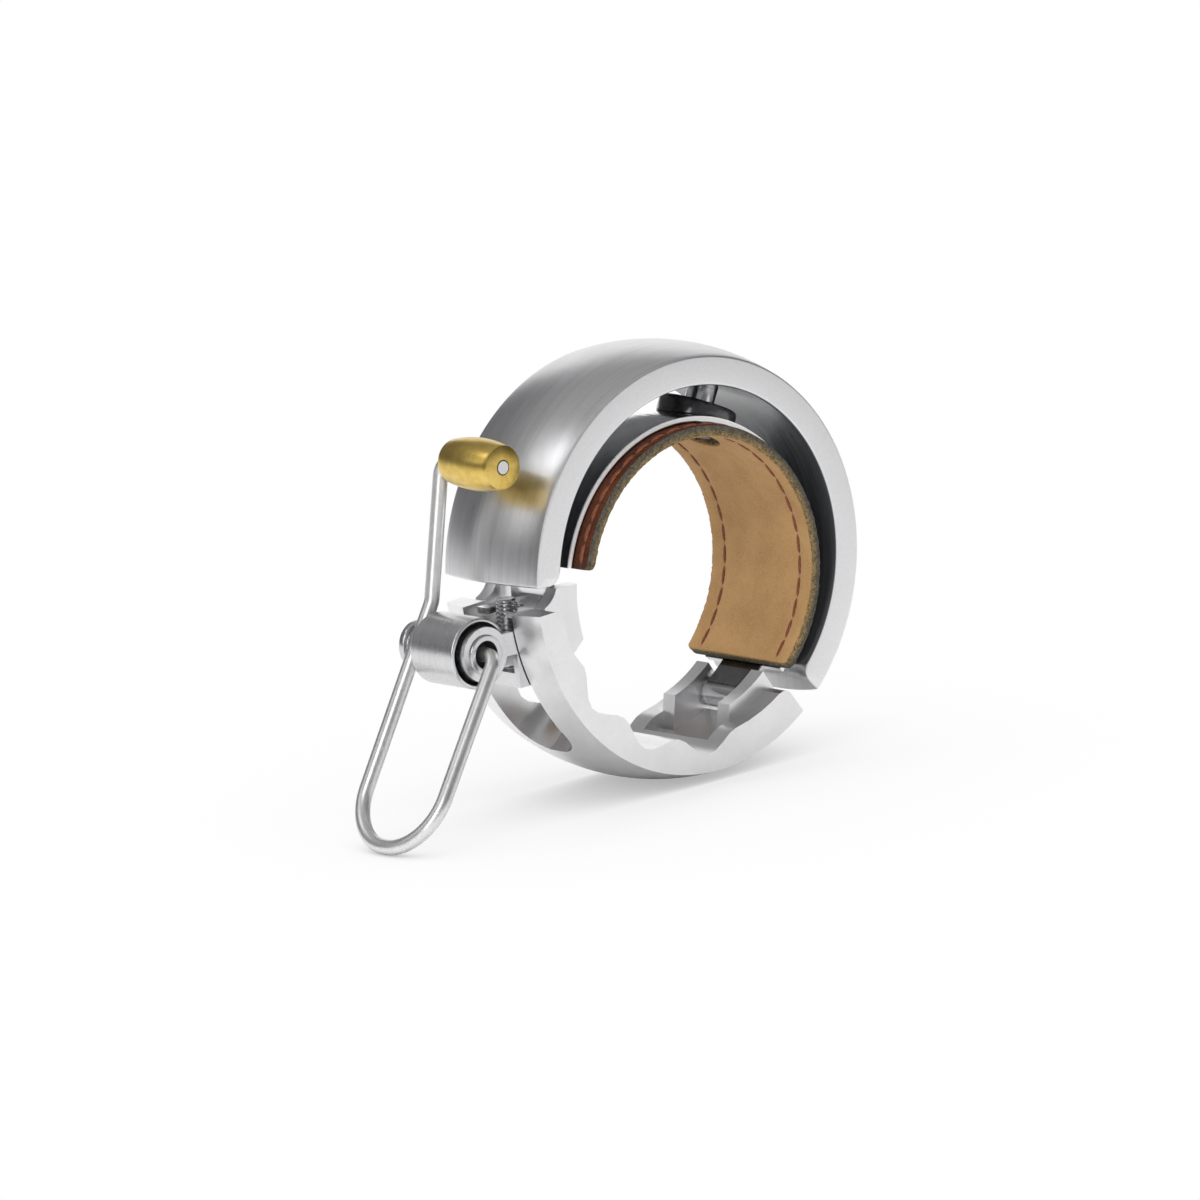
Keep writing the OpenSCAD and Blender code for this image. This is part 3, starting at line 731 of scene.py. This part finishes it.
# Trigger: barrel, hollow rivet, hammer and wire


def turned_piece(name, profile, centre, steps, body, look, node):
    """A lathed piece that stands for a node."""
    bm = bmesh.new()
    lathe(bm, profile, centre, steps)
    add_object(name, bm, body, look, [node])


def barrel_profile():
    bore = [(BARREL_BORE, BARREL_FLOOR), (BARREL_HOLE, BARREL_FLOOR), (BARREL_HOLE, BARREL_BACK)]
    front = corner(BARREL_R, BARREL_FRONT, 0.22, 0) + corner(BARREL_BORE, BARREL_FRONT, 0.1, 90)
    return front + bore + corner(BARREL_R, BARREL_BACK, 0.22, 270)


def rivet_profile():
    head = [(NEAR_AXIS, RIVET_HEAD_BACK), (1.6, RIVET_HEAD_BACK)]
    head += corner(RIVET_HEAD_R, RIVET_HEAD_BACK, 0.5, 270)[1:]
    head += corner(RIVET_HEAD_R, RIVET_HEAD_FRONT, 0.2, 0)
    neck = [(RIVET_NECK, RIVET_HEAD_FRONT), (RIVET_NECK, BARREL_BACK)]
    shank = [(RIVET_R, BARREL_BACK), (RIVET_R, RIVET_LIP_BACK - SEAT), (RIVET_LIP, RIVET_LIP_BACK)]
    lip = corner(RIVET_LIP, RIVET_FRONT, 0.12, 0) + corner(RIVET_BORE, RIVET_FRONT, 0.14, 90)
    return head + neck + shank + lip + [(RIVET_BORE, RIVET_BORE_END), (NEAR_AXIS, RIVET_BORE_END)]


def hammer_profile():
    bore, rim = WIRE_R + SEAT, HAMMER_R - HAMMER_SWELL
    middle = HAMMER_FRONT - HAMMER_LEN / 2
    front = [(rim - 0.08, HAMMER_FRONT - 0.06), (rim - 0.2, HAMMER_FRONT), (bore, HAMMER_FRONT)]
    back = [(r, 2 * middle - z) for r, z in front[::-1]]
    side = []
    for i in range(25):
        u = i / 12 - 1
        side.append((HAMMER_R - HAMMER_SWELL * u * u, middle + u * (HAMMER_LEN / 2 - 0.22)))
    return back + side + front


turned_piece("barrel_turned", barrel_profile(), PIVOT, 96, "trigger", barrel_steel, "barrel")
turned_piece("pivot_rivet_turned", rivet_profile(), PIVOT, 72, "clamp", pin_steel, "pivot_rivet")
turned_piece("hammer_turned", hammer_profile(), HAMMER, 96, "trigger", brass, "hammer")


def wire_points():
    """The wire's middle line: hammer, past the barrel, round the thumb loop and into the rivet."""
    back = BARREL_BACK - WIRE_R - SEAT
    loop = (PIVOT[0] - LOOP_REACH, FLOOR_Y + WIRE_R)
    loop_bend = LOOP_SHARE * (LOOP_FRONT - back)
    path = [
        Vector((*HAMMER, HAMMER_FRONT + 0.06)), Vector((*HAMMER, back)),
        Vector((PIVOT[0] + PASS_X, PIVOT[1] + PASS_Y, back)),
        Vector((*loop, back)), Vector((*loop, LOOP_FRONT)),
        Vector((*PIVOT, ENTRY_FRONT)), Vector((*PIVOT, 0.0)),
    ]
    radii = [0, HAMMER_BEND, PASS_BEND, loop_bend, loop_bend, ENTRY_BEND, 0]
    points = [path[0], path[0].lerp(path[1], 0.04)]
    for i in range(1, len(path) - 1):
        into = (path[i] - path[i - 1]).normalized()
        away = (path[i + 1] - path[i]).normalized()
        turn = into.angle(away)
        side = (away - into * into.dot(away)).normalized()
        start = path[i] - into * (radii[i] * math.tan(turn / 2))
        centre = start + side * radii[i]
        steps = max(6, int(turn * radii[i] / 0.35))
        for k in range(steps + 1):
            t = turn * k / steps
            points.append(centre + (into * math.sin(t) - side * math.cos(t)) * radii[i])
    points.append(path[-1])
    return points


def tube_along(bm, points, radius, sides, ease):
    """A round tube along the points, narrower by ease at both ends."""
    up = None
    rings = []
    count = len(points)
    for i, p in enumerate(points):
        ahead = (points[min(i + 1, count - 1)] - points[max(i - 1, 0)]).normalized()
        if up is None:
            up = ahead.orthogonal().normalized()
        up = (up - ahead * up.dot(ahead)).normalized()
        across = ahead.cross(up)
        r = radius - (ease if i in (0, count - 1) else 0.0)
        ring = []
        for k in range(sides):
            b = 2 * math.pi * k / sides
            ring.append(world(*(p + (up * math.cos(b) + across * math.sin(b)) * r)))
        rings.append(ring)
    loft(bm, rings)


bm = bmesh.new()
tube_along(bm, wire_points(), WIRE_R, 24, 0.12)
add_object("striker_wire_bent", bm, "trigger", wire_steel, ["striker_wire"])


# Clamp screw: threaded shank and chamfered hexagon head with a socket


def screw_ring(y, steps, radius):
    """A ring about the screw's axis, with a radius for each angle."""
    turns = [2 * math.pi * k / steps for k in range(steps)]
    return [world(SCREW_X + radius(b) * math.cos(b), y, radius(b) * math.sin(b)) for b in turns]


def thread_ring(y, steps=40):
    def radius(b):
        phase = (y / SCREW_PITCH - b / (2 * math.pi)) % 1.0
        ridge = min(1.0, max(0.0, 1.35 * (1 - abs(2 * phase - 1)) - 0.1))
        chamfer = max(0.0, 0.3 - (SCREW_TOP - y)) * 0.9
        return min(SCREW_ROOT + (SCREW_R - SCREW_ROOT) * ridge, SCREW_R - chamfer)

    return screw_ring(y, steps, radius)


def hexagon_ring(y, across, cap):
    """A hexagon whose corners are turned down to the radius cap."""
    return screw_ring(y, 48, lambda b: min(across / 2 / math.cos(b % (math.pi / 3) - math.pi / 6), cap))


def build_screw():
    rows = int((SCREW_TOP - HEX_TOP) / 0.045)
    bm = bmesh.new()
    loft(bm, [thread_ring(HEX_TOP + (SCREW_TOP - HEX_TOP) * j / rows) for j in range(rows + 1)])
    low, ease = HEX_TOP - HEX_HIGH, 0.22
    chamfer_r, point_r, key_r = 2.02, 2.31, 1.16
    loft(bm, [
        hexagon_ring(HEX_TOP, HEX_ACROSS - 0.1, chamfer_r),
        hexagon_ring(HEX_TOP - ease, HEX_ACROSS, point_r),
        hexagon_ring(low + ease, HEX_ACROSS, point_r),
        hexagon_ring(low, HEX_ACROSS - 0.1, chamfer_r),
        hexagon_ring(low, KEY_ACROSS + 0.1, key_r + 0.04),
        hexagon_ring(low + 0.08, KEY_ACROSS, key_r),
        hexagon_ring(low + KEY_DEEP, KEY_ACROSS, key_r),
    ])
    add_object("clamp_screw_threaded", bm, "screw", pin_steel, ["clamp_screw"], 25)


build_screw()


# Stage: white floor, soft light and dark cards for the steel to reflect


def floor_look():
    """White, but greyer in the steel's reflections, apart from the far right."""
    mirrored = S.node("ShaderNodeLightPath", out="Is Glossy Ray")
    x, _, z = place()
    far = z.step(-80.0, -140.0) * x.step(0.0, 80.0)
    reflected = far.mix(rgb(0.62, 0.62, 0.62), rgb(0.95, 0.95, 0.95))
    return S.node("ShaderNodeBsdfDiffuse", {"Color": mirrored.mix(rgb(0.92, 0.92, 0.92), reflected)})


def shadow_look():
    """A clear sheet, darker where the bell stands close above it."""
    open_sky = S.node("ShaderNodeAmbientOcclusion", {"Distance": 0.07}, out=1, samples=24)
    shade = 1.0 - (1.0 - open_sky).math("POWER", 1.7) * 0.6
    return S.node("ShaderNodeBsdfTransparent", {"Color": shade})


def ground_sheet(name, drop, look):
    bm = bmesh.new()
    bmesh.ops.create_grid(bm, x_segments=1, y_segments=1, size=4.0)
    bm.transform(Matrix.Translation((0, 0, (FLOOR_Y - drop) * MM)))
    return add_object(name, bm, None, stage_material(name, look))


# The floor lights the bell; the camera sees a clear sheet with its shadow, so an open clamp shows below it
floor = ground_sheet("floor", 0.03, floor_look)
floor.visible_camera = False
shadow = ground_sheet("floor_shadow", 0.02, shadow_look)
shadow.visible_diffuse = shadow.visible_glossy = shadow.visible_transmission = shadow.visible_shadow = False


def light(name, kind, at, towards, energy, **settings):
    """A light at one place that shines towards another."""
    data = bpy.data.lights.new(name, kind)
    data.energy = energy
    for key, value in settings.items():
        setattr(data, key, value)
    obj = bpy.data.objects.new(name, data)
    bpy.context.scene.collection.objects.link(obj)
    obj.location = at
    obj.rotation_euler = (Vector(towards) - Vector(at)).to_track_quat("-Z", "Y").to_euler()
    return obj


key = light("key_sun", "SUN", (-0.25, -0.12, 1.0), (0, 0, 0), 1.35, angle=math.radians(110))
top = light(
    "top_box", "AREA", (-0.05, 0.1, 0.55), (0, 0, 0), 1.6, shape="RECTANGLE", size=0.5, size_y=0.35
)
key.visible_glossy = top.visible_glossy = False
light(
    "left_box", "AREA", (-0.5, -0.25, 0.25), (-0.01, 0, 0), 1.1, shape="RECTANGLE", size=0.18, size_y=0.4
)


def card(name, at, towards, width, height, value):
    """A glowing or dark sheet that only reflections show."""
    bm = bmesh.new()
    bmesh.ops.create_grid(bm, x_segments=1, y_segments=1, size=0.5)
    turn = (Vector(towards) - Vector(at)).to_track_quat("Z", "Y").to_matrix().to_4x4()
    bm.transform(Matrix.Translation(at) @ turn @ Matrix.Diagonal((width, height, 1, 1)))
    glow = {"Color": rgb(value, value, value), "Strength": 1.0}
    obj = add_object(name, bm, None, stage_material(name, lambda: S.node("ShaderNodeEmission", glow)))
    obj.visible_camera = obj.visible_diffuse = obj.visible_shadow = False


card("dark_right", (0.30, -0.22, 0.08), (0, 0, 0), 0.22, 0.30, 0.03)
card("streak", (-0.30, 0.23, 0.46), (0, 0, 0), 0.12, 0.17, 3.4)
card("low_streak", (-0.47, 0.29, 0.29), (0, 0, 0), 0.14, 0.22, 1.5)
card("back_right", (0.43, 0.54, 0.19), (0, 0, 0.02), 0.36, 0.48, 1.15)
card("dark_left", (-0.34, 0.05, 0.14), (0, 0, 0), 0.10, 0.5, 0.06)


def sky_look():
    """White for the camera, pale for the floor, and a dim ramp for the steel to reflect."""
    height = split(S.node("ShaderNodeTexCoord", out="Generated"))[2]
    ramp = height.ramp([
        (0.0, rgb(0.24, 0.24, 0.25)), (0.16, rgb(0.14, 0.14, 0.145)),
        (0.5, rgb(0.19, 0.19, 0.195)), (0.85, rgb(0.42, 0.42, 0.42)),
    ])
    seen = S.node("ShaderNodeLightPath", out="Is Camera Ray")
    spread = S.node("ShaderNodeLightPath", out="Is Diffuse Ray")
    fill = spread.mix(ramp, rgb(0.74, 0.74, 0.74))
    return S.node("ShaderNodeBackground", {"Color": seen.mix(fill, rgb(1, 1, 1)), "Strength": 1.0})


scene = bpy.context.scene
scene.world = bpy.data.worlds.new("studio")
scene.world.use_nodes = True
fill_tree(scene.world.node_tree, "ShaderNodeOutputWorld", sky_look)

# Camera: fitted to the photo with the ring level, then turned with the ring so that it stands on the floor
LEAN = math.radians(6.4)
DISTANCE = 1.1201
PHOTO_PIXELS, SHIFT_PIXELS = 1200, (-52.75, -41.0)


def leaned(x, y, z):
    return Vector((x * math.cos(LEAN) + z * math.sin(LEAN), y, z * math.cos(LEAN) - x * math.sin(LEAN)))


right = leaned(0.7615, -0.6481, 0.0)
up = leaned(0.0841, 0.0988, 0.9915)
backward = leaned(-0.6427, -0.7551, 0.1297)
camera = bpy.data.cameras.new("camera")
camera.sensor_width, camera.lens = 36.0, 300.0
camera.clip_start, camera.clip_end = 0.05, 50.0
camera.shift_x, camera.shift_y = (pixels / PHOTO_PIXELS for pixels in SHIFT_PIXELS)
view = bpy.data.objects.new("camera", camera)
scene.collection.objects.link(view)
turn = Matrix((right, up, backward)).transposed().to_4x4()
view.matrix_world = Matrix.Translation(Vector((0, 0, RISE * MM)) + backward * DISTANCE) @ turn
scene.camera = view
scene.view_settings.view_transform = "Standard"
scene.view_settings.look = "None"
